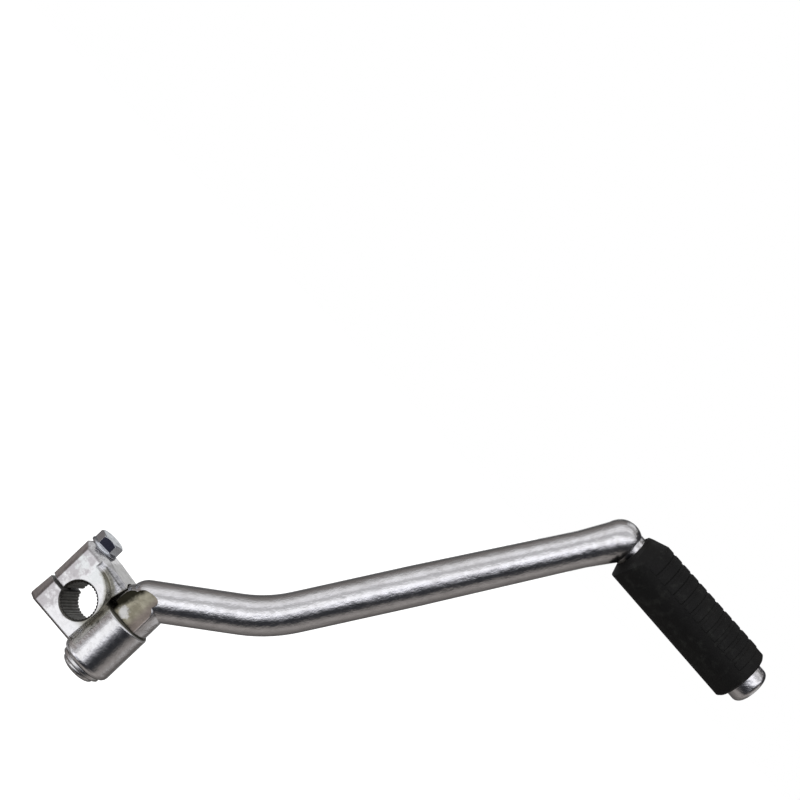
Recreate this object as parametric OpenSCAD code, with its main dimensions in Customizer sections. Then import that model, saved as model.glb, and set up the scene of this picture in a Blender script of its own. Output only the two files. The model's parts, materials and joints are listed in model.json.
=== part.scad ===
// Folding kick start lever for a small motorbike, in millimetres.
// The shaft bore runs along Y with its middle at the origin.
// The outer face of the clamp looks towards -Y.
// The fold pivot is parallel to Z, on the +X side of the shaft bore.
// The arm is drawn folded in, which is how it rests.

/* [Shaft clamp] */

// Radius of the shaft bore at the tooth tips
bore_r = 7.2; // [6.6:0.1:7.6]
// Number of serrations around the shaft bore
tooth_count = 36; // [28:1:40]
// Depth of each serration
tooth_depth = 0.4; // [0.3:0.05:0.5]
// Thickness of the clamp block along the shaft
clamp_t = 22; // [20:0.5:26]
// Width of the clamp slot
slot_w = 1.4; // [1:0.2:2.2]
// Height of the upper jaw above the shaft axis
jaw_h = 18.4; // [17.6:0.1:20]

/* [Fold pivot] */

// Radius of the pivot barrel
barrel_r = 10.9; // [10.6:0.1:11.6]
// Radius of the arm spigot inside the barrel
spigot_r = 6.5; // [6.1:0.1:6.8]
// Running gap around the spigot, on the radius
pivot_clear = 0.05; // [0.02:0.01:0.09]
// How far the arm folds
fold_deg = 90; // [70:5:100]

/* [Arm] */

// Radius of the lower arm
rod_r = 8.05; // [7.4:0.05:8.3]
// Length of the lower arm, to its bend
lower_len = 47; // [42:1:56]
// Slope of the lower arm
lower_deg = 38; // [36:1:44]
// Length of the upper arm, from its bend to the peg
upper_len = 140; // [115:1:160]
// Slope of the upper arm
upper_deg = 59; // [54:1:68]
// Radius of the arm just below the peg
top_r = 7.15; // [6.8:0.05:7.6]

/* [Foot peg] */

// Length of the peg rubber
rubber_len = 62.5; // [50:0.5:74]
// Radius of the peg rubber over its ribs, at the outer end
rubber_r = 12.3; // [11.4:0.1:13]
// Radius of the metal core of the peg
core_r = 6; // [5.4:0.1:6.6]
// Number of ribs on the peg rubber
rib_count = 11; // [8:1:13]

/* [Hidden] */

$fn = 96;
// Screw size shared by the pinch bolt and the pivot bolt
screw_r = 3;
screw_clear = 0.1;
thread_clear = 0.05;
hex_af = 10;
hex_r = hex_af / 2 / cos(30);
bolt_flange_r = 6.2;
bolt_flange_t = 1.2;
hex_h = 4;
half_t = clamp_t / 2;
tooth_r = bore_r + tooth_depth;
groove_half = 0.55 * PI * bore_r / tooth_count;
bore_mouth_r = tooth_r + 0.5;
slot_z = -1.5;
slot_top = slot_z + slot_w / 2;
slot_low = slot_z - slot_w / 2;
jaw_low = -13.1;
edge = 0.9;
pinch_x = -(tooth_r + 0.1 + screw_r + screw_clear);
left_x = pinch_x - 4.7;
lean_x = left_x - 1.1;
bevel_x = left_x + 3.3;
pad_x = bore_r + 1.5;
corner_x = -3.3;
corner_z = 2;
corner_r = pad_x - corner_x;
sink_x = -5;
sink_y = -9.3;
sink_deg = 12.3;
pinch_len = jaw_h - jaw_low - 1.5;

pivot_r = spigot_r + pivot_clear;
pivot_x = tooth_r + 2.45 + pivot_r;
barrel_low = -16.7;
barrel_top = 6.7;
pocket_r = barrel_r + 1.1;
pocket_top_r = pocket_r - 2.5;
end_gap = 0.15;
collar_r = barrel_r - 1;
collar_z = barrel_top + end_gap;
collar_top = 14;
spigot_low = barrel_low - end_gap;
joint_z = 18.2;
flat_y = 7.1;
rest_deg = 14;

// The stop lug stands on the barrel, the collar has a pocket around it
lug_h = 3;
lug_in = spigot_r + 1;
lug_from = 100;
lug_deg = 40;
stop_gap = 1;
relief_from = lug_from - stop_gap;
relief_deg = fold_deg + lug_deg + 2 * stop_gap;

washer_r = 9;
washer_t = 1.8;
cap_r = 7.5;
cap_rim = 1;
cap_h = 3.3;
socket_r = 2.5 / cos(30);
screw_up = 13;

// The arm is drawn in its own plane, then turned to where it rests
bend_r = 60;
bend_deg = upper_deg - lower_deg;
bend_tan = bend_r * tan(bend_deg / 2);
bend_s = lower_len * cos(lower_deg);
bend_z = joint_z + lower_len * sin(lower_deg);
peg_s = bend_s + upper_len * cos(upper_deg);
peg_z = bend_z + upper_len * sin(upper_deg);
bulge_r = top_r + 1.25;
peg_drop = 2.2;
peg_lift = 0.35;
neck_r = top_r - 0.05;
skirt = 1.8;
neck_len = 8.1;
peg_end = neck_len + rubber_len;
head_r = 8.2;
head_t = 7.2;
sleeve_clear = 0.05;
rib_h = 0.35;
rubber_in_r = rubber_r - 0.3;
rib_pitch = (rubber_len - 9) / rib_count;
taper_len = 7;
taper_off = 1.3;

ball_r = 2.5;
ball_z = 1.5;
ball_gap = 0.3;
ball_at = spigot_r - ball_gap + pivot_clear - ball_r;
ball_hole_r = ball_r + 0.05;
ball_hole_end = -4.5;
wire_r = 0.35;
coil_r = 1.7;
coil_turns = 5;
coil_end = ball_at - sqrt(pow(ball_r + wire_r, 2) - pow(coil_r, 2)) + 0.02;
coil_len = coil_end - ball_hole_end - 2 * wire_r;
wire_rise = coil_len / coil_turns;

metal = [0.78, 0.78, 0.8];
zinc = [0.72, 0.72, 0.74];
black = [0.12, 0.12, 0.12];

module at_pivot() {
  translate([pivot_x, 0, 0]) rotate([0, 0, rest_deg]) children();
}

module at_peg() {
  at_pivot() translate([peg_s, 0, peg_z + peg_lift]) rotate([0, 90 + peg_drop, 0]) children();
}

module side_profile(depth) {
  rotate([90, 0, 0]) linear_extrude(height = depth, center = true) children();
}

module sector(r_in, r_out, from, sweep, h) {
  rotate([0, 0, from]) rotate_extrude(angle = sweep)
    translate([r_in, 0]) square([r_out - r_in, h]);
}

module clamp_block() {
  reach = bevel_x - lean_x + 0.3;
  intersection() {
    side_profile(clamp_t) polygon([
      [left_x, jaw_h - 0.9], [left_x + 0.9, jaw_h], [corner_x, jaw_h],
      [pad_x + 1.5, jaw_h - 2], [pad_x + 1.5, 5], [pad_x, 3.5], [pad_x - 0.8, jaw_low],
      [lean_x + 0.6, jaw_low], [lean_x, jaw_low + 0.6], [left_x, slot_z + 1]]);
    translate([0, 0, jaw_low - 1]) linear_extrude(height = jaw_h - jaw_low + 2)
      polygon([
        [bevel_x, -half_t], [pad_x + 2, -half_t], [pad_x + 2, half_t],
        [bevel_x, half_t], [bevel_x - reach, half_t - reach],
        [bevel_x - reach, reach - half_t]]);
    translate([lean_x - 1, 0, 0]) rotate([90, 0, 90])
      linear_extrude(height = pad_x - lean_x + 3) polygon([
        [-half_t, jaw_low + edge], [edge - half_t, jaw_low],
        [half_t - edge, jaw_low], [half_t, jaw_low + edge],
        [half_t, jaw_h - 2.4], [half_t - 3.1, jaw_h - 0.9],
        [half_t - 4.9, jaw_h], [4.9 - half_t, jaw_h],
        [3.1 - half_t, jaw_h - 0.9], [-half_t, jaw_h - 2.4]]);
  }
}

// Sinks the front upper corner below the round pad of the shaft bore
module corner_sink() {
  difference() {
    translate([sink_x, sink_y, corner_z]) rotate([0, 0, sink_deg])
      translate([0, -20, 0]) cube([30, 20, jaw_h]);
    translate([corner_x, -half_t - 1, corner_z]) rotate([-90, 0, 0])
      cylinder(h = 12, r1 = corner_r - 0.2, r2 = corner_r + 2.2);
  }
}

module teeth() {
  for (i = [0 : tooth_count - 1])
    rotate([0, 0, (i + 0.5) * 360 / tooth_count])
      translate([0, 0, -half_t - 1]) linear_extrude(height = clamp_t + 2)
        polygon([
          [bore_r - 0.5, -groove_half], [bore_r - 0.02, -groove_half],
          [tooth_r, -groove_half * 0.4], [tooth_r, groove_half * 0.4],
          [bore_r - 0.02, groove_half], [bore_r - 0.5, groove_half]]);
}

module boss() {
  color(metal) difference() {
    union() {
      difference() {
        clamp_block();
        corner_sink();
      }
      translate([0, -7.4, jaw_low + 0.9])
        cube([pivot_x, 14.8, barrel_top - jaw_low - 1.7]);
      // Barrel with its rounded ends
      translate([pivot_x, 0, 0]) rotate_extrude() polygon([
        [0, barrel_low], [barrel_r - 1.5, barrel_low],
        [barrel_r - 0.7, barrel_low + 0.5], [barrel_r - 0.2, barrel_low + 1.3],
        [barrel_r, barrel_low + 2.3], [barrel_r, barrel_top - 0.6],
        [barrel_r - 0.4, barrel_top], [0, barrel_top]]);
    }
    // Room for the collar of the arm
    translate([pivot_x, 0, barrel_top])
      cylinder(h = jaw_h - barrel_top + 0.1, r1 = pocket_r, r2 = pocket_top_r);
    // Shaft bore, its serrations and its two mouths
    rotate([90, 0, 0]) cylinder(h = clamp_t + 2, r = bore_r, center = true);
    rotate([90, 0, 0]) teeth();
    translate([0, -half_t - 0.01, 0]) rotate([-90, 0, 0])
      cylinder(h = 1, r1 = bore_mouth_r, r2 = bore_r - 0.1);
    translate([0, half_t + 0.01, 0]) rotate([90, 0, 0])
      cylinder(h = 1, r1 = bore_mouth_r, r2 = bore_r - 0.1);
    // Clamp slot
    translate([lean_x - 1, -half_t - 1, slot_low])
      cube([-lean_x + 1 - bore_r * 0.8, clamp_t + 2, slot_w]);
    // Pinch bolt hole, plain above the slot and threaded below it
    translate([pinch_x, 0, slot_low]) cylinder(h = jaw_h + 3, r = screw_r + screw_clear);
    translate([pinch_x, 0, jaw_low - 1]) cylinder(h = 14, r = screw_r + thread_clear);
    // Pivot bore
    translate([pivot_x, 0, barrel_low - 1])
      cylinder(h = barrel_top - barrel_low + 2, r = pivot_r);
    translate([pivot_x, 0, barrel_low - 0.01])
      cylinder(h = 0.5, r1 = pivot_r + 0.5, r2 = pivot_r);
    // Two dents that hold the arm in and out
    translate([pivot_x, 0, ball_z]) {
      rotate([0, 0, rest_deg]) translate([ball_at + 0.8, 0, 0]) sphere(r = ball_r + 0.1);
      rotate([0, 0, rest_deg - fold_deg]) translate([ball_at + 0.8, 0, 0])
        sphere(r = ball_r + 0.1);
    }
  }
  color(metal) translate([pivot_x, 0, barrel_top - 0.7])
    sector(lug_in, collar_r - 0.2, lug_from, lug_deg, lug_h + 0.7);
}

module arm() {
  color(metal) difference() {
    union() {
      at_pivot() {
        translate([0, 0, spigot_low]) cylinder(h = collar_top - spigot_low, r = spigot_r);
        translate([0, 0, collar_z + 0.5])
          cylinder(h = collar_top - collar_z - 0.5, r = collar_r);
        translate([0, 0, collar_z]) cylinder(h = 0.5, r1 = collar_r - 0.5, r2 = collar_r);
        // Rounded top of the collar
        translate([0, 0, collar_top]) rotate_extrude() polygon(concat(
          [[0, -1], [collar_r, -1]],
          [for (i = [0 : 10]) [rod_r - 1 + (collar_r - rod_r + 1) * cos(i * 9),
                               5.2 * sin(i * 9)]],
          [[0, 5.2]]));
        translate([0, 0, joint_z]) sphere(r = rod_r);
        translate([0, 0, joint_z]) rotate([0, 90 - lower_deg, 0])
          cylinder(h = lower_len - bend_tan, r = rod_r);
        // Bend between the lower and the upper arm
        translate([bend_s, 0, bend_z]) rotate([90, 0, 0])
          rotate([0, 0, lower_deg]) translate([-bend_tan, bend_r, 0])
            rotate([0, 0, -90]) rotate_extrude(angle = bend_deg)
              translate([bend_r, 0]) circle(r = rod_r);
        translate([bend_s, 0, bend_z]) rotate([0, 90 - upper_deg, 0]) {
          translate([0, 0, bend_tan])
            cylinder(h = upper_len * 0.42 - bend_tan, r = rod_r);
          translate([0, 0, upper_len * 0.42])
            cylinder(h = upper_len * 0.58, r1 = rod_r, r2 = top_r);
          // The forging swells smoothly into its corner
          translate([0, 0, upper_len - 20]) cylinder(h = 20, r1 = top_r - 0.1, r2 = bulge_r - 0.2);
        }
        translate([peg_s, 0, peg_z]) sphere(r = bulge_r);
      }
      at_peg() {
        cylinder(h = neck_len, r = neck_r);
        cylinder(h = peg_end + 0.5, r = core_r);
        // Head that keeps the rubber on
        translate([0, 0, peg_end]) rotate_extrude() polygon(concat(
          [[0, 0], [head_r - 0.5, 0], [head_r, 0.5]],
          [for (i = [0 : 8]) [head_r - 3 + 3 * cos(i * 10), head_t - 2.6 + 2.6 * sin(i * 10)]],
          [[0, head_t]]));
      }
    }
    // Flat that clears the swing, at the front of the collar
    translate([pivot_x - 20, -20 - flat_y, collar_z - 1]) cube([32, 20, 19]);
    // Pocket under the collar for the stop lug
    translate([pivot_x, 0, collar_z - 1])
      sector(lug_in - 0.3, collar_r + 2, relief_from, relief_deg, lug_h + 1.15);
    // Tapped hole for the pivot bolt
    translate([pivot_x, 0, spigot_low - 1])
      cylinder(h = screw_up + 1.8, r = screw_r + thread_clear);
    // Cross hole for the detent
    at_pivot() translate([ball_hole_end, 0, ball_z]) rotate([0, 90, 0])
      cylinder(h = spigot_r - ball_hole_end + 1, r = ball_hole_r);
  }
}

module shank(len) {
  translate([0, 0, -len + 0.6]) cylinder(h = len, r = screw_r);
  translate([0, 0, -len]) cylinder(h = 0.6, r1 = screw_r - 0.5, r2 = screw_r);
}

module pinch_bolt() {
  color(zinc) translate([pinch_x, 0, jaw_h]) {
    shank(pinch_len);
    translate([0, 0, bolt_flange_t]) rotate([0, 0, 13]) intersection() {
      translate([0, 0, -0.5]) cylinder(h = hex_h + 0.5, r = hex_r, $fn = 6);
      translate([0, 0, -0.5])
        cylinder(h = hex_h + 0.5, r1 = hex_r + 5, r2 = hex_r - 0.75);
    }
    cylinder(h = 0.5, r = bolt_flange_r);
    translate([0, 0, 0.5])
      cylinder(h = bolt_flange_t - 0.5, r1 = bolt_flange_r, r2 = bolt_flange_r - 0.5);
  }
}

module pivot_bolt() {
  color(zinc) translate([pivot_x, 0, spigot_low - washer_t]) rotate([180, 0, 20])
    difference() {
      union() {
        shank(screw_up + washer_t);
        rotate_extrude() polygon(concat(
          [[0, 0], [cap_r - 0.3, 0], [cap_r, 0.3], [cap_r, cap_rim]],
          [for (i = [1 : 8]) [cap_r * cos(i * 10.6),
                              cap_rim + (cap_h - cap_rim) * sin(i * 10.6)]],
          [[0, cap_h]]));
      }
      translate([0, 0, cap_h - 2]) cylinder(h = 3, r = socket_r, $fn = 6);
    }
}

module pivot_washer() {
  color(zinc) translate([pivot_x, 0, spigot_low - washer_t]) difference() {
    union() {
      cylinder(h = 0.4, r1 = washer_r - 0.4, r2 = washer_r);
      translate([0, 0, 0.4]) cylinder(h = washer_t - 0.4, r = washer_r);
    }
    translate([0, 0, -1]) cylinder(h = washer_t + 2, r = screw_r + 0.2);
  }
}

module detent_ball() {
  color(zinc) at_pivot() translate([ball_at, 0, ball_z]) sphere(r = ball_r);
}

// A slice across a coiled wire is an arc, thick in its middle
function wire_edge(a, side) = let (
    half = 360 * wire_r / wire_rise,
    r = coil_r + side * wire_r * sqrt(max(0, 1 - pow(a / half, 2))))
  [r * cos(a), r * sin(a)];

module detent_spring() {
  color(zinc) at_pivot() translate([ball_hole_end + wire_r, 0, ball_z])
    rotate([0, 90, 0]) linear_extrude(height = coil_len, twist = -360 * coil_turns,
      slices = 80, $fn = 8) polygon(concat(
        [for (i = [-6 : 6]) wire_edge(i * 19, 1)],
        [for (i = [5 : -1 : -5]) wire_edge(i * 19, -1)]));
}

module peg_rubber() {
  inner = core_r + sleeve_clear;
  color(black) at_peg() difference() {
    intersection() {
      union() {
        translate([0, 0, neck_len]) rotate_extrude() polygon([
          [inner - 0.5, 0], [neck_r + 0.1, 0], [neck_r + 0.1, -skirt],
          [neck_r + 0.5, -skirt], [rubber_in_r - rib_h, 0],
          [rubber_r - rib_h, rubber_len - 0.8],
          [rubber_r - rib_h - 0.8, rubber_len], [inner - 0.5, rubber_len]]);
        // Ribs across the side that the foot is on
        for (i = [0 : rib_count - 1])
          translate([0, 0, neck_len + 5.5 + i * rib_pitch]) rotate([0, 0, 95])
            rotate_extrude(angle = 170) polygon([
              [core_r + 3, 0], [rubber_in_r - rib_h, 0],
              [rubber_in_r + 0.3 * i / rib_count, 0.5],
              [rubber_in_r + 0.3 * i / rib_count, rib_pitch - 1.4],
              [rubber_in_r - rib_h, rib_pitch - 0.9], [core_r + 3, rib_pitch - 0.9]]);
      }
      // The foot side tapers towards the arm
      translate([taper_off, 0, neck_len]) rotate_extrude() polygon([
        [0, -skirt - 1], [rubber_r - 2.9, -skirt - 1], [rubber_r - 1.5, 0],
        [rubber_r + taper_off, taper_len], [rubber_r + 3, taper_len + 2],
        [rubber_r + 3, rubber_len + 1], [0, rubber_len + 1]]);
    }
    translate([0, 0, neck_len - 1]) cylinder(h = rubber_len + 2, r = inner);
  }
}

boss();
arm();
pinch_bolt();
pivot_bolt();
pivot_washer();
detent_ball();
detent_spring();
peg_rubber();
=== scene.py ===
import json
import math

import bmesh
import bpy
from mathutils import Matrix, Vector


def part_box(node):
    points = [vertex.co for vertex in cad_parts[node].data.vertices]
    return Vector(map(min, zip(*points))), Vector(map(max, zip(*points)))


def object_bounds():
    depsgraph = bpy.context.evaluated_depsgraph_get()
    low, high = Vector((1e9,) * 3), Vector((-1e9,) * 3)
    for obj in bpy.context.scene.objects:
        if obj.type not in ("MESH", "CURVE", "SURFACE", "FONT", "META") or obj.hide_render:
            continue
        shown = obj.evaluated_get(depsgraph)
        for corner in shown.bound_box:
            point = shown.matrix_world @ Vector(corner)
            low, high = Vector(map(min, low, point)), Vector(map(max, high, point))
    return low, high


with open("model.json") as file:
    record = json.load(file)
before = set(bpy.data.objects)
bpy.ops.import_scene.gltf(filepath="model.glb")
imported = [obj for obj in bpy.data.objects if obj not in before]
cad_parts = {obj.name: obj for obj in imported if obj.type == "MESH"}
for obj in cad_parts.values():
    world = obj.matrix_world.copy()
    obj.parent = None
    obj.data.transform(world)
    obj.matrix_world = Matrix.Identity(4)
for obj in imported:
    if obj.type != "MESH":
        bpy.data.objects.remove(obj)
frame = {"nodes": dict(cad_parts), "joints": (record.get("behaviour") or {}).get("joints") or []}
CAD_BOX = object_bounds()
NODES = frame["nodes"]

# Places that the part's own solids give. All lengths in this script are in metres
BLOCK_LOW, BLOCK_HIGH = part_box("boss")
WASHER_LOW, WASHER_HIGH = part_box("pivot_washer")
FRONT_Y = BLOCK_LOW.y
BACK_Y = BLOCK_HIGH.y
JAW_TOP = BLOCK_HIGH.z
FLAT_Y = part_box("arm")[0].y
PIVOT_X = frame["joints"][0]["pos_m"][0]

# Places that no box gives. The shaft bore runs along Y through the origin
MM = 0.001
BORE_MOUTH_R = 8.1 * MM
PAD_X, PAD_Z, PAD_R = -3.3 * MM, 2.0 * MM, 12.0 * MM
JAW_LOW = -13.1 * MM
SLOT_Z, SLOT_HALF = -1.5 * MM, 0.75 * MM
SLOT_INNER_X = -7.05 * MM
BARREL_TOP = 6.7 * MM
POCKET_R, POCKET_TOP_R = 12.0 * MM, 9.5 * MM
FLANGE_TOP = JAW_TOP + 1.2 * MM

# Middle of the arm's corner, and the direction of the peg from there
CORNER = (0.1225, 0.0264, 0.1675)
ARM_TURN, PEG_DROP = math.radians(14.0), math.radians(2.2)
PEG_AXIS = (
    math.cos(PEG_DROP) * math.cos(ARM_TURN),
    math.cos(PEG_DROP) * math.sin(ARM_TURN),
    -math.sin(PEG_DROP))

# Rough direction of the arm, along which its plating is drawn out
ARM_GRAIN = (0.54, 0.135, 0.83)

# Middle of the whole part, where the lamps point and the room is centred
CENTRE = Vector((0.09, 0.0, 0.08))

# The camera, fitted to the photo's outlines. Pixels are those of its 800 x 800 frame
FRAME_PX = 800.0
FOCAL_PX = 1900.0
ORIGIN_PX = (87.61, 601.10)
PX_PER_M = 2560.0
AZIMUTH, ELEVATION, ROLL = math.radians(11.81), math.radians(2.42), math.radians(46.49)
SENSOR_MM = 36.0


def camera_axes():
    """Right, up and back of the fitted camera."""
    back = Vector((
        math.sin(AZIMUTH) * math.cos(ELEVATION),
        -math.cos(AZIMUTH) * math.cos(ELEVATION),
        math.sin(ELEVATION)))
    level_right = Vector((math.cos(AZIMUTH), math.sin(AZIMUTH), 0.0))
    level_up = back.cross(level_right)
    right = level_right * math.cos(ROLL) + level_up * math.sin(ROLL)
    up = level_up * math.cos(ROLL) - level_right * math.sin(ROLL)
    return right, up, back


RIGHT, UP, BACK = camera_axes()
CAMERA_TURN = Matrix((RIGHT, UP, BACK)).transposed()


def make_camera():
    """The photo's view of the part."""
    depth = FOCAL_PX / PX_PER_M
    right = (ORIGIN_PX[0] - FRAME_PX / 2) / PX_PER_M
    up = -(ORIGIN_PX[1] - FRAME_PX / 2) / PX_PER_M
    data = bpy.data.cameras.new("camera")
    data.sensor_fit = "HORIZONTAL"
    data.sensor_width = SENSOR_MM
    data.lens = SENSOR_MM * FOCAL_PX / FRAME_PX
    data.clip_start = 0.01
    data.clip_end = 20.0
    camera = bpy.data.objects.new("camera", data)
    bpy.context.scene.collection.objects.link(camera)
    place = BACK * depth - RIGHT * right - UP * up
    camera.matrix_world = Matrix.Translation(place) @ CAMERA_TURN.to_4x4()
    bpy.context.scene.camera = camera


# Shader trees
class Tree:
    """A short way to write a shader tree. Masks are values from 0 to 1."""

    def __init__(self, node_tree):
        self.node_tree = node_tree
        node_tree.nodes.clear()

    def add(self, kind, inputs=None, **settings):
        node = self.node_tree.nodes.new("ShaderNode" + kind)
        for key, value in settings.items():
            setattr(node, key, value)
        for key, value in (inputs or {}).items():
            self.put(node.inputs[key], value)
        return node

    def put(self, socket, value):
        if isinstance(value, bpy.types.NodeSocket):
            self.node_tree.links.new(value, socket)
        else:
            socket.default_value = value

    def output(self, kind, shader):
        """End the tree in a Material or World output."""
        node = self.add("Output" + kind)
        self.node_tree.links.new(shader, node.inputs["Surface"])

    # Arithmetic
    def math(self, operation, a, b):
        return self.add("Math", {0: a, 1: b}, operation=operation).outputs[0]

    def plus(self, a, b):
        return self.math("ADD", a, b)

    def minus(self, a, b):
        return self.math("SUBTRACT", a, b)

    def times(self, first, *others):
        product = first
        for other in others:
            product = self.math("MULTIPLY", product, other)
        return product

    def larger(self, a, b):
        return self.math("MAXIMUM", a, b)

    def vector(self, operation, a, b=(0, 0, 0)):
        node = self.add("VectorMath", {0: a, 1: b}, operation=operation)
        return node.outputs["Value" if operation == "DOT_PRODUCT" else "Vector"]

    def axes(self, at):
        return self.add("SeparateXYZ", {"Vector": at}).outputs

    def around(self, a, b, middle_a, middle_b):
        """Distance from a middle, in the plane of two coordinates."""
        off_a, off_b = self.minus(a, middle_a), self.minus(b, middle_b)
        return self.math("SQRT", self.plus(self.times(off_a, off_a), self.times(off_b, off_b)), 0.0)

    # Masks
    def span(self, value, start, end, low=0.0, high=1.0, smooth=True):
        """From low to high while the value goes from start to end."""
        node = self.add("MapRange", {
            "Value": value, "From Min": start, "From Max": end, "To Min": low, "To Max": high,
        }, interpolation_type="SMOOTHSTEP" if smooth else "LINEAR")
        return node.outputs["Result"]

    def above(self, value, edge, soft):
        """1 above the edge and 0 under it, with a soft border of that width on each side."""
        return self.span(value, edge - soft, edge + soft)

    def below(self, value, edge, soft):
        """1 under the edge and 0 above it."""
        return self.span(value, edge + soft, edge - soft)

    def inside(self, value, low, high, soft):
        """1 between two edges."""
        return self.times(self.above(value, low, soft), self.below(value, high, soft))

    # Colours and patterns
    def mix(self, share, a, b):
        return self.add("Mix", {0: share, 6: a, 7: b}, data_type="RGBA", blend_type="MIX").outputs[2]

    def noise(self, at, scale, detail=2.0, rough=0.5):
        node = self.add("TexNoise", {"Vector": at, "Scale": scale, "Detail": detail, "Roughness": rough})
        return node.outputs["Fac"]

    def ragged(self, value, noise, size):
        """The value, moved to and fro by a noise, so that its edges are ragged."""
        return self.plus(value, self.times(self.minus(noise, 0.5), size))

    def ramp(self, value, stops):
        """Colours between stops, each a place from 0 to 1 and a colour."""
        node = self.add("ValToRGB", {"Fac": value})
        elements = node.color_ramp.elements
        while len(elements) > 1:
            elements.remove(elements[0])
        for i, (place, colour) in enumerate(stops):
            element = elements[0] if i == 0 else elements.new(place)
            element.position = place
            element.color = (*colour, 1.0)
        return node.outputs["Color"]


def new_material(name):
    material = bpy.data.materials.new(name)
    material.use_nodes = True
    return material, Tree(material.node_tree)


class Surface:
    """A metal surface while its marks go on: its place, colour, roughness and share of metal."""

    def __init__(self, tree, at, colour, rough):
        self.tree = tree
        self.at = at
        self.x, self.y, self.z = tree.axes(at)
        self.colour = colour
        self.rough = rough
        self.metal = 1.0

    def paint(self, mask, share, colour):
        self.colour = self.tree.mix(self.tree.times(mask, share), self.colour, colour)

    def roughen(self, mask, amount):
        self.rough = self.tree.plus(self.rough, self.tree.times(mask, amount))


# Plated metal. The patterns are given by how many of their waves go into a metre
LUMPS_PER_M = 170.0
DENTS_PER_M = 540.0
GRAIN_PER_M = 1500.0
WEAR_PER_M = 45.0
GRAIN_DRAWN_OUT = 0.45
BRIGHT = (0.88, 0.88, 0.89, 1)
BLUISH_ZINC = (0.78, 0.82, 0.87, 1)
PLAIN_ZINC = (0.80, 0.80, 0.80, 1)
BARE_STEEL = (0.55, 0.55, 0.56, 1)
WORN = (0.45, 0.42, 0.38, 1)


def drawn_out(tree, at, along):
    """Coordinates squeezed along one direction, so that a pattern on them is drawn out."""
    far = tree.times(tree.vector("DOT_PRODUCT", at, along), GRAIN_DRAWN_OUT)
    step = tree.add("VectorMath", {0: along, "Scale": far}, operation="SCALE")
    return tree.vector("SUBTRACT", at, step.outputs["Vector"])


def plated(name, tint, rough, lumps, marks=None, along=None):
    """Bright plating over a forging: soft lumps, fine grain, and the marks of its own piece."""
    material, tree = new_material(name)
    at = tree.add("TexCoord").outputs["Object"]
    flow = drawn_out(tree, at, along) if along else at
    lump = tree.noise(flow, LUMPS_PER_M)
    dent = tree.noise(flow, DENTS_PER_M, 3.0, 0.55)
    grain = tree.noise(at, GRAIN_PER_M, 3.0, 0.65)
    wear = tree.span(tree.noise(at, WEAR_PER_M, 4.0, 0.6), 0.42, 0.72)

    duller_tint = (tint[0] * 0.93, tint[1] * 0.925, tint[2] * 0.92, 1)
    colour = tree.mix(tree.span(dent, 0.35, 0.75), tint, duller_tint)
    surface = Surface(tree, at, colour, tree.span(dent, 0.3, 0.75, rough - 0.06, rough + 0.08))
    surface.paint(wear, 0.14, WORN)
    surface.roughen(wear, 0.06)
    if marks:
        marks(surface)

    height = tree.plus(tree.times(lump, 0.85 * lumps), tree.times(dent, 0.95 * lumps))
    height = tree.plus(height, tree.times(grain, 0.36 * lumps))
    rounded = tree.add("Bevel", {"Radius": 0.7 * MM}, samples=6)
    bump = tree.add("Bump", {
        "Strength": 1.0, "Distance": 0.16 * MM, "Height": height, "Normal": rounded.outputs["Normal"]})
    shader = tree.add("BsdfPrincipled", {
        "Base Color": surface.colour, "Metallic": surface.metal, "Roughness": surface.rough,
        "Normal": bump.outputs["Normal"]})
    tree.output("Material", shader.outputs["BSDF"])
    return material


# Marks on the block. Each limit is the middle of a mark's soft border
RAG_PER_M = 420.0
STAINS_PER_M = 210.0
VALLEY_LEFT_X = -2.25 * MM
VALLEY_LOW_Z = -5.5 * MM
RIM_LEFT_X = -2.5 * MM
RIM_LOW_Z = 8.0 * MM
RIM_SLOPE = 0.148
RIM_HEIGHT = 16.5 * MM
STAINED_LEFT_X = -13.0 * MM
STAINED_RIGHT_X = 4.0 * MM
COOL_LOW_Z = 6.5 * MM
FOOT_RIGHT_X = 8.4 * MM
CORNER_LEFT_X = 7.5 * MM
CORNER_RIGHT_X = 11.0 * MM
CORNER_LOW_Z = -14.0 * MM
VALLEY_SHADE = (0.23, 0.22, 0.15, 1)
RIM_SHADE = (0.34, 0.34, 0.33, 1)
RIM_SHADE_LINE = (0.13, 0.13, 0.115, 1)
FACE_STAIN_AND_SHADE = (0.36, 0.33, 0.345, 1)
COOL_STAIN = (0.60, 0.66, 0.64, 1)
FOOT_DIRT = (0.22, 0.20, 0.19, 1)
CORNER_SHADE = (0.36, 0.335, 0.28, 1)
BORE_SHADE_DARK = (0.08, 0.078, 0.070, 1)
BORE_SHADE_PALE = (0.19, 0.185, 0.165, 1)
POCKET_SHADE = (0.045, 0.041, 0.026, 1)
SLOT_SHADE = (0.03, 0.027, 0.022, 1)


def pad_valley(surface, rag):
    """Painted shade in the valley beside the round pad of the bore, where the concave fillet lies in
    shade.
    """
    tree = surface.tree
    radius = tree.ragged(tree.around(surface.x, surface.z, PAD_X, PAD_Z), rag, 2.2 * MM)
    valley = tree.times(
        tree.inside(radius, PAD_R - 0.7 * MM, PAD_R + 2.3 * MM, 0.8 * MM),
        tree.math("LESS_THAN", surface.y, FRONT_Y / 2),
        tree.above(surface.x, VALLEY_LEFT_X, 1.25 * MM),
        tree.above(surface.z, VALLEY_LOW_Z, 2.5 * MM))
    surface.paint(valley, 0.78, VALLEY_SHADE)
    surface.roughen(valley, 0.16)


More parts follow.
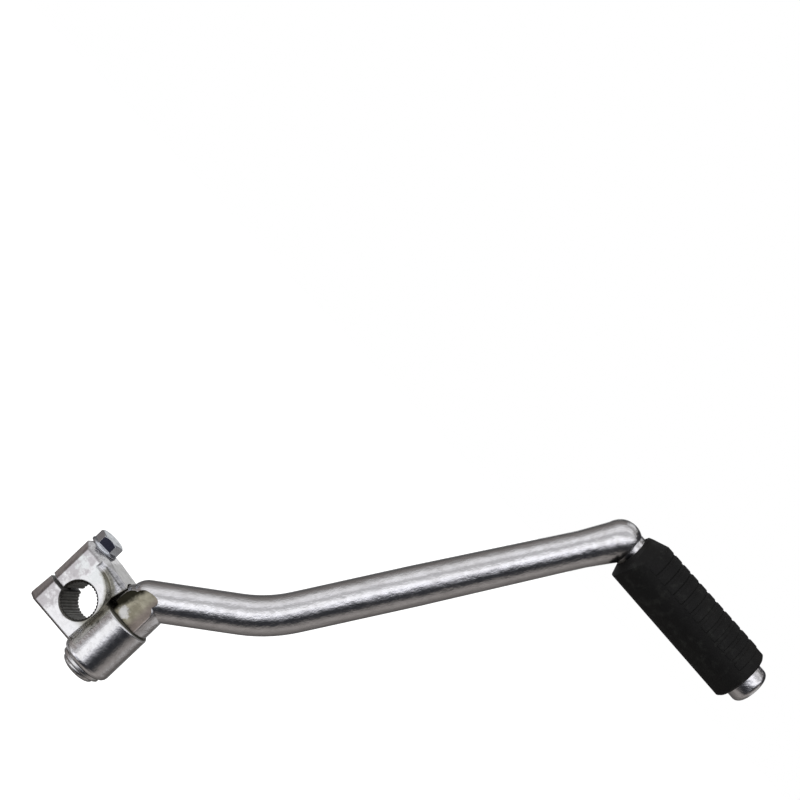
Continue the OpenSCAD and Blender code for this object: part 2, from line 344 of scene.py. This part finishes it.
def upper_rim(surface, rag):
    """Painted shade on the rim above the sunk corner, with a darker painted shade line under it."""
    tree = surface.tree
    height = tree.plus(surface.z, tree.times(tree.minus(surface.x, PAD_X), RIM_SLOPE))
    place = tree.times(
        tree.above(surface.x, RIM_LEFT_X, 0.5 * MM),
        tree.below(surface.y, BACK_Y, 1.0 * MM),
        tree.above(surface.z, RIM_LOW_Z, 0.5 * MM))
    surface.paint(tree.times(place, tree.above(height, RIM_HEIGHT, 0.3 * MM)), 0.6, RIM_SHADE)
    line = tree.inside(height, RIM_HEIGHT - 0.4 * MM, RIM_HEIGHT + 0.2 * MM, 0.15 * MM)
    surface.paint(tree.times(place, line, tree.span(rag, 0.25, 0.5)), 0.8, RIM_SHADE_LINE)


def face_stains(surface):
    """Soft stains on the face, with painted shade that grows darker towards the bevelled side, and dirt
    along its foot.
    """
    tree = surface.tree
    cloud = tree.noise(surface.at, STAINS_PER_M, 4.0, 0.62)
    front = tree.below(surface.y, FRONT_Y + 1.25 * MM, 0.75 * MM)
    # The stain cloud is pushed up towards the bevelled side, so that it also paints shade there
    stain = tree.plus(cloud, tree.span(surface.x, STAINED_RIGHT_X, STAINED_LEFT_X, -0.10, 0.16))
    on_edges = tree.span(surface.y, FRONT_Y - 0.1 * MM, FRONT_Y + 0.1 * MM, 1.0, 0.75)
    surface.paint(tree.times(tree.span(stain, 0.50, 0.68), front, on_edges), 0.74, FACE_STAIN_AND_SHADE)
    pale = tree.span(tree.minus(1.0, cloud), 0.46, 0.62)
    surface.paint(tree.times(pale, front, tree.above(surface.z, COOL_LOW_Z, 2.5 * MM)), 0.35, COOL_STAIN)
    foot = tree.times(
        tree.below(surface.z, JAW_LOW + 0.8 * MM, 0.2 * MM),
        tree.below(surface.x, FOOT_RIGHT_X, 0.4 * MM))
    surface.paint(foot, 0.6, FOOT_DIRT)


def barrel_corner(surface, rag):
    """Painted shade in the corner between the block and the barrel."""
    tree = surface.tree
    corner = tree.times(
        tree.above(surface.x, CORNER_LEFT_X, 1.0 * MM),
        tree.below(surface.x, CORNER_RIGHT_X, 1.5 * MM),
        tree.above(surface.y, FRONT_Y + 0.75 * MM, 0.75 * MM),
        tree.above(surface.z, CORNER_LOW_Z, 2.0 * MM),
        tree.span(rag, 0.30, 0.62))
    surface.paint(corner, 0.7, CORNER_SHADE)
    return corner


def shaded_bore(surface, rag):
    """Painted dark shade in the shaft bore, which is also rougher."""
    tree = surface.tree
    radius = tree.around(surface.x, surface.z, 0.0, 0.0)
    bore = tree.span(radius, BORE_MOUTH_R + 0.12 * MM, BORE_MOUTH_R - 0.08 * MM)
    surface.paint(bore, 1.0, tree.mix(rag, BORE_SHADE_DARK, BORE_SHADE_PALE))
    surface.roughen(bore, 0.18)


def collar_pocket(surface):
    """Painted black shade under and round the collar, in its conical pocket."""
    tree = surface.tree
    slope = (POCKET_R - POCKET_TOP_R) / (JAW_TOP - BARREL_TOP)
    wall = tree.minus(POCKET_R + 0.25 * MM, tree.times(tree.minus(surface.z, BARREL_TOP), slope))
    past_wall = tree.minus(tree.around(surface.x, surface.y, PIVOT_X, 0.0), wall)
    pocket = tree.times(
        tree.below(past_wall, -0.075 * MM, 0.075 * MM),
        tree.above(surface.z, BARREL_TOP - 0.25 * MM, 0.25 * MM))
    surface.paint(pocket, 0.95, POCKET_SHADE)
    return pocket


def saw_slot(surface):
    """Painted black shade in the saw slot."""
    tree = surface.tree
    slot = tree.times(
        tree.inside(surface.z, SLOT_Z - SLOT_HALF, SLOT_Z + SLOT_HALF, 0.08 * MM),
        tree.below(surface.x, SLOT_INNER_X, 0.15 * MM))
    surface.paint(slot, 0.9, SLOT_SHADE)
    return slot


def block_marks(surface):
    """Painted shade in the bore, stains and painted shade on the face, and painted black shade in the
    slot and under the collar.
    """
    tree = surface.tree
    rag = tree.noise(surface.at, RAG_PER_M, 4.0, 0.65)
    pad_valley(surface, rag)
    upper_rim(surface, rag)
    face_stains(surface)
    corner = barrel_corner(surface, rag)
    shaded_bore(surface, rag)
    pocket = collar_pocket(surface)
    black = tree.larger(saw_slot(surface), pocket)
    surface.roughen(black, 0.4)
    surface.metal = tree.minus(1.0, tree.larger(black, tree.times(corner, 0.7)))


# Marks on the arm
FLAT_CLOUDS_PER_M = 260.0
FLAT_RIGHT_X = 24.4 * MM
FLAT_TOP_Z = 25.6 * MM
BROWN_LEFT_X = 19.75 * MM
EDGE_LEFT_X = 23.05 * MM
SHADOW_REACH_X = 12.0 * MM
SHADOW_LOW_Z = 7.0 * MM
SHADOW_LEAN = 0.23
SPOT_X, SPOT_Z, SPOT_R = 14.8 * MM, 9.8 * MM, 2.15 * MM
COLLAR_FOOT_Z = 7.225 * MM
# On the neck, out from the corner along the peg, and up across it
SHADE_OUT = 2.0 * MM
SHADE_RISE = -1.5 * MM
NECK_OUT = 5.0 * MM
RUBBER_OUT = 10.0 * MM
UNSHADOWED_RISE_LOW, UNSHADOWED_RISE_HIGH = 0.6 * MM, 5.2 * MM
FLAT_OLIVE = (0.27, 0.25, 0.185, 1)
FLAT_SAND = (0.40, 0.375, 0.29, 1)
FLAT_SHADE = (0.235, 0.20, 0.175, 1)
FLAT_EDGE_HIGHLIGHT = (0.70, 0.63, 0.60, 1)
FLAT_SHADOW = (0.014, 0.013, 0.008, 1)
FLAT_HIGHLIGHT = (0.74, 0.74, 0.73, 1)
COLLAR_FOOT_SHADE = (0.05, 0.046, 0.035, 1)
NECK_SHADE = (0.22, 0.215, 0.21, 1)
NECK_SHADOW = (0.06, 0.058, 0.055, 1)


def collar_flat(surface, rag):
    """The dull yellow flat at the front of the collar, its painted black shadow, its painted shade and
    edge highlight, and its painted highlight spot.
    """
    tree = surface.tree
    flat = tree.times(
        tree.below(surface.y, FLAT_Y + 0.08 * MM, 0.04 * MM),
        tree.above(surface.y, FLAT_Y - 0.125 * MM, 0.075 * MM),
        tree.below(surface.x, FLAT_RIGHT_X, 0.4 * MM),
        tree.below(surface.z, FLAT_TOP_Z, 0.6 * MM))
    cloud = tree.span(tree.noise(surface.at, FLAT_CLOUDS_PER_M, 3.0), 0.35, 0.65)
    surface.paint(flat, 1.0, tree.mix(cloud, FLAT_OLIVE, FLAT_SAND))
    surface.roughen(flat, 0.16)
    # Painted shade towards its right side, where the collar curves away, with a painted highlight along
    # its edge
    surface.paint(tree.times(flat, tree.above(surface.x, BROWN_LEFT_X, 1.75 * MM)), 1.0, FLAT_SHADE)
    surface.paint(tree.times(flat, tree.above(surface.x, EDGE_LEFT_X, 0.25 * MM)), 0.5, FLAT_EDGE_HIGHLIGHT)
    # Painted black shadow in its left corner, up to a slanted ragged line
    reach = tree.minus(surface.x, tree.times(tree.minus(surface.z, SHADOW_LOW_Z), SHADOW_LEAN))
    reach = tree.ragged(reach, rag, 3.0 * MM)
    surface.paint(tree.times(flat, tree.below(reach, SHADOW_REACH_X, 1.4 * MM)), 0.97, FLAT_SHADOW)
    # A painted highlight spot beside the painted shadow
    from_spot = tree.ragged(tree.around(surface.x, surface.z, SPOT_X, SPOT_Z), rag, 5.5 * MM)
    surface.paint(tree.times(flat, tree.below(from_spot, SPOT_R, 0.75 * MM)), 0.8, FLAT_HIGHLIGHT)


def collar_foot(surface):
    """Painted shade along the lower edge of the collar and on the spigot below it, where they sit in the
    pocket.
    """
    foot = surface.tree.below(surface.z, COLLAR_FOOT_Z, 0.225 * MM)
    surface.paint(foot, 0.85, COLLAR_FOOT_SHADE)
    surface.metal = surface.tree.minus(1.0, surface.tree.times(foot, 0.6))


def neck_shade_and_shadow(surface, rag):
    """Painted shade and shadow on the short neck between the corner and the rubber, left off along one
    band across it.
    """
    tree = surface.tree
    from_corner = tree.vector("SUBTRACT", surface.at, CORNER)
    out = tree.vector("DOT_PRODUCT", from_corner, PEG_AXIS)
    rise = tree.plus(tree.axes(from_corner)["Z"], tree.times(out, -PEG_AXIS[2]))
    before_rubber = tree.below(out, RUBBER_OUT, 0.5 * MM)
    under = tree.times(
        before_rubber,
        tree.above(out, SHADE_OUT, 3.0 * MM),
        tree.below(rise, SHADE_RISE, 2.5 * MM))
    surface.paint(under, 0.6, NECK_SHADE)
    on_neck = tree.times(before_rubber, tree.above(out, NECK_OUT, 0.8 * MM))
    beside_spot = tree.larger(
        tree.below(rise, UNSHADOWED_RISE_LOW, 1.0 * MM),
        tree.above(rise, UNSHADOWED_RISE_HIGH, 0.6 * MM))
    surface.paint(tree.times(on_neck, beside_spot, tree.span(rag, 0.2, 0.45)), 0.9, NECK_SHADOW)


def arm_marks(surface):
    """The flat of the collar, the painted shade below it, and the painted shade and shadow on the neck
    beside the rubber.
    """
    rag = surface.tree.noise(surface.at, RAG_PER_M, 4.0, 0.65)
    collar_flat(surface, rag)
    collar_foot(surface)
    neck_shade_and_shadow(surface, rag)


# Marks on the screws, one of whose facets, seen from the front, has painted dark shade
FACET_SHADE_BLOTS_PER_M = 700.0
SEAM_RAG_PER_M = 500.0
SHADED_FACET_SIDE = (0.225, -0.974, 0.0)
FACET_SHADE = (0.012, 0.012, 0.030, 1)
FLANGE_SHADOW = (0.09, 0.085, 0.075, 1)
SEAM_DARK = (0.07, 0.065, 0.055, 1)
END_BLOT = (0.13, 0.125, 0.115, 1)


def pinch_bolt_marks(surface):
    """Painted dark shade on one facet of the hexagon, and painted shadow under the flange."""
    tree = surface.tree
    facing = tree.vector("DOT_PRODUCT", tree.add("NewGeometry").outputs["Normal"], SHADED_FACET_SIDE)
    shaded_facet = tree.times(
        tree.span(facing, 0.93, 0.97),
        tree.span(tree.noise(surface.at, FACET_SHADE_BLOTS_PER_M, 3.0), 0.10, 0.30),
        tree.above(surface.z, FLANGE_TOP + 0.2 * MM, 0.2 * MM))
    surface.paint(shaded_facet, 0.96, FACET_SHADE)
    surface.paint(tree.below(surface.z, JAW_TOP + 0.225 * MM, 0.225 * MM), 0.7, FLANGE_SHADOW)


def pivot_end_marks(surface):
    """Darker ragged bands in the seams on both sides of the pivot washer, and blots on the screw's head.
    """
    tree = surface.tree
    rag = tree.noise(surface.at, SEAM_RAG_PER_M, 4.0, 0.65)
    below_washer = tree.inside(surface.z, WASHER_LOW.z - 0.3 * MM, WASHER_LOW.z + 0.25 * MM, 0.2 * MM)
    above_washer = tree.above(surface.z, WASHER_HIGH.z - 0.225 * MM, 0.175 * MM)
    seams = tree.larger(below_washer, above_washer)
    surface.paint(tree.times(seams, tree.span(rag, 0.25, 0.5)), 0.85, SEAM_DARK)
    blots = tree.times(
        tree.span(rag, 0.52, 0.66),
        tree.below(surface.z, WASHER_LOW.z - 0.1 * MM, 0.25 * MM),
        tree.below(surface.y, -2.0 * MM, 2.0 * MM))
    surface.paint(blots, 0.7, END_BLOT)


# Rubber
RUBBER_GRAIN_PER_M = 1800.0
DUST_PER_M = 70.0
RUBBER_BLOTS_PER_M = 300.0
RUBBER_DARK = (0.0035, 0.0035, 0.0035, 1)
RUBBER_PALE = (0.007, 0.0068, 0.0065, 1)
DUST = (0.018, 0.017, 0.0155, 1)
RUBBER_BLOT = (0.024, 0.0255, 0.0225, 1)


def rubber(name):
    """Black rubber with a fine grain, faint dust and blots."""
    material, tree = new_material(name)
    at = tree.add("TexCoord").outputs["Object"]
    grain = tree.noise(at, RUBBER_GRAIN_PER_M, 4.0, 0.6)
    dust = tree.span(tree.noise(at, DUST_PER_M, 4.0, 0.6), 0.45, 0.8)
    blot = tree.span(tree.noise(at, RUBBER_BLOTS_PER_M, 4.0, 0.65), 0.50, 0.72)
    colour = tree.mix(grain, RUBBER_DARK, RUBBER_PALE)
    colour = tree.mix(tree.times(dust, 0.3), colour, DUST)
    colour = tree.mix(tree.times(blot, 0.4), colour, RUBBER_BLOT)
    bump = tree.add("Bump", {"Strength": 0.5, "Distance": 0.1 * MM, "Height": grain})
    shader = tree.add("BsdfPrincipled", {
        "Base Color": colour, "Roughness": tree.span(grain, 0.3, 0.7, 0.46, 0.62),
        "Specular IOR Level": 0.2, "Normal": bump.outputs["Normal"]})
    tree.output("Material", shader.outputs["BSDF"])
    return material


def dress_nodes():
    """Give every solid of the part its own kind of material."""
    block = plated("plated_block", BRIGHT, rough=0.13, lumps=0.55, marks=block_marks)
    arm = plated("plated_arm", BRIGHT, rough=0.14, lumps=1.1, marks=arm_marks, along=ARM_GRAIN)
    screw = plated("zinc_screw", BLUISH_ZINC, rough=0.24, lumps=0.2, marks=pinch_bolt_marks)
    end_screw = plated("zinc_end_screw", PLAIN_ZINC, rough=0.22, lumps=0.2, marks=pivot_end_marks)
    bare_steel = plated("bare_steel", BARE_STEEL, rough=0.18, lumps=0.05)
    materials = {
        "boss": block,
        "arm": arm,
        "pinch_bolt": screw,
        "pivot_bolt": end_screw,
        "pivot_washer": end_screw,
        "detent_ball": bare_steel,
        "detent_spring": bare_steel,
        "peg_rubber": rubber("peg_rubber"),
    }
    for name, node in NODES.items():
        for slot in node.material_slots:
            slot.material = materials[name]


# Studio
WHITE = (1, 1, 1, 1)
WORLD_STRENGTH = 0.45
FLOOR_DROP = 0.60
FLOOR_HALF = 40.0
FLOOR_PALE = (0.82, 0.82, 0.82, 1)
FLOOR_WHITENESS = 0.9


def seen_ray(tree):
    """1 where the camera sees the background, by itself or in a mirror or through glass."""
    rays = tree.add("LightPath").outputs
    seen = tree.larger(rays["Is Camera Ray"], rays["Is Glossy Ray"])
    return tree.larger(seen, rays["Is Transmission Ray"])


def emission(tree, colour, strength=1.0):
    return tree.add("Emission", {"Color": colour, "Strength": strength}).outputs["Emission"]


def make_world():
    """A white background that lights the part less than it shows."""
    world = bpy.data.worlds.new("studio")
    bpy.context.scene.world = world
    world.use_nodes = True
    tree = Tree(world.node_tree)
    lighting = tree.add("Background", {"Color": WHITE, "Strength": WORLD_STRENGTH}).outputs[0]
    shown = tree.add("Background", {"Color": WHITE, "Strength": 1.0}).outputs[0]
    mixed = tree.add("MixShader", {0: seen_ray(tree), 1: lighting, 2: shown})
    tree.output("World", mixed.outputs[0])


def make_floor():
    """A plain pale floor below the part, which hangs on its shaft."""
    low = CAD_BOX[0][2] - FLOOR_DROP
    signs = ((-1, -1), (1, -1), (1, 1), (-1, 1))
    corners = [(x * FLOOR_HALF, y * FLOOR_HALF, low) for x, y in signs]
    mesh = bpy.data.meshes.new("floor")
    mesh.from_pydata(corners, [], [(0, 1, 2, 3)])
    floor = bpy.data.objects.new("floor", mesh)
    bpy.context.scene.collection.objects.link(floor)
    material, tree = new_material("floor")
    pale = tree.add("BsdfDiffuse", {"Color": FLOOR_PALE}).outputs[0]
    whiter = tree.add("AddShader", {0: pale, 1: emission(tree, WHITE, FLOOR_WHITENESS)}).outputs[0]
    mixed = tree.add("MixShader", {0: seen_ray(tree), 1: pale, 2: whiter})
    tree.output("Material", mixed.outputs[0])
    mesh.materials.append(material)
    floor.visible_glossy = False


# Room that only the reflections see
ROOM_R = 3.0
DEGREES = 180 / math.pi
# Its walls: degrees up from the direction to the camera, brightness, and warmth
WALLS = [
    (-180, 0.38, 0), (-160, 0.16, 0), (-146, 0.08, 1), (-106, 0.19, 1),
    (-84, 0.29, 1), (-66, 0.17, 1), (-51, 0.040, -1), (-39, 0.026, -2),
    (-27, 0.036, -2), (-16, 0.19, -1), (-3, 0.82, -1), (11, 1.32, -0.4),
    (27, 0.66, -0.3), (45, 0.41, -0.3), (62, 0.92, -0.3), (80, 0.66, 0),
    (94, 0.36, 0), (110, 0.20, 1), (146, 0.08, 0), (160, 0.16, 0),
    (180, 0.38, 0),
]
LEFT_WALL = (0.225, 0.198, 0.19, 1)
LAMP_GLOW = (0.62, 0.62, 0.63, 1)
LOW_CORNER = (0.42, 0.41, 0.41, 1)
FAR_WALL = (0.70, 0.70, 0.70, 1)
DOOR = (0.035, 0.034, 0.038, 1)
BENCH = (0.28, 0.28, 0.27, 1)
WINDOW = (1.02, 1.02, 1.04, 1)


def wall_colour(brightness, warmth):
    """A nearly grey colour, redder where it is warm and bluer where the warmth is below zero."""
    warm, cool = max(warmth, 0), max(-warmth, 0)
    red = 1 + 0.06 * warm - 0.035 * cool
    green = 0.985 - 0.015 * cool
    blue = 1 - 0.05 * warmth
    return brightness * red, brightness * green, brightness * blue


def room_colours(tree, at):
    """Walls, bench, door and window, by the direction from the part: right, up and back."""
    right = tree.vector("DOT_PRODUCT", at, tuple(RIGHT))
    up = tree.vector("DOT_PRODUCT", at, tuple(UP))
    back = tree.vector("DOT_PRODUCT", at, tuple(BACK))
    up_angle = tree.times(tree.math("ARCTAN2", up, back), DEGREES)
    side_angle = tree.times(tree.math("ARCTAN2", right, back), DEGREES)
    stops = []
    for angle, brightness, warmth in WALLS:
        stops.append(((angle + 180) / 360, wall_colour(brightness, warmth)))
    colour = tree.ramp(tree.span(up_angle, -180.0, 180.0, smooth=False), stops)
    above, below = tree.above, tree.below
    patches = [
        (LEFT_WALL, below(right, -0.53, 0.04), above(up, 0.44, 0.06)),
        (LAMP_GLOW, above(right, 0.46, 0.06), above(up, 0.42, 0.06), below(back, -0.25, 0.10)),
        (LOW_CORNER, above(right, 0.45, 0.05), below(up, -0.45, 0.05), below(back, -0.05, 0.15)),
        (FAR_WALL, above(right, 0.0275, 0.0175), above(up, 0.0275, 0.0175),
         below(back, -0.925, 0.025)),
        (DOOR, above(right, 0.485, 0.065), below(back, 0.125, 0.125),
         above(up, -0.36, 0.06), below(up, 0.32, 0.04)),
        (BENCH, above(right, 0.12, 0.04), below(up, -0.07, 0.03), below(back, -0.85, 0.05)),
        (WINDOW, above(up_angle, -5.0, 7.0), below(up_angle, 29.0, 7.0),
         above(side_angle, -49.0, 7.0), below(side_angle, -10.0, 6.0)),
    ]
    for patch_colour, *masks in patches:
        colour = tree.mix(tree.times(*masks), colour, patch_colour)
    return colour


def make_room():
    """What the metal reflects: pale walls, a dark bench and one soft window."""
    mesh = bpy.data.meshes.new("room")
    shell = bmesh.new()
    bmesh.ops.create_icosphere(shell, subdivisions=5, radius=ROOM_R)
    for vert in shell.verts:
        vert.co = CAMERA_TURN @ vert.co
    shell.to_mesh(mesh)
    shell.free()
    room = bpy.data.objects.new("room", mesh)
    room.location = CENTRE
    bpy.context.scene.collection.objects.link(room)
    material, tree = new_material("room")
    at = tree.vector("NORMALIZE", tree.add("TexCoord").outputs["Object"])
    tree.output("Material", emission(tree, room_colours(tree, at)))
    mesh.materials.append(material)
    room.visible_camera = False
    room.visible_diffuse = False
    room.visible_shadow = False
    room.visible_transmission = False
    room.visible_volume_scatter = False


def lamp(name, at, width, height, power):
    """A soft rectangular lamp that points at the middle of the part."""
    data = bpy.data.lights.new(name, "AREA")
    data.shape = "RECTANGLE"
    data.size = width
    data.size_y = height
    data.energy = power
    light = bpy.data.objects.new(name, data)
    bpy.context.scene.collection.objects.link(light)
    light.location = at
    light.rotation_euler = (CENTRE - at).to_track_quat("-Z", "Y").to_euler()
    light.visible_glossy = False


make_camera()
dress_nodes()
make_world()
make_floor()
make_room()
lamp("key", CENTRE + BACK * 0.9 + UP * 0.9 - RIGHT * 0.6, 0.9, 0.6, 11.0)
lamp("fill", CENTRE + BACK * 0.9 - UP * 0.3 + RIGHT * 1.0, 0.9, 0.9, 4.0)
lamp("rim", CENTRE - BACK * 0.8 + UP * 0.9 + RIGHT * 0.3, 0.8, 0.5, 4.0)
bpy.context.scene.view_settings.view_transform = "Standard"
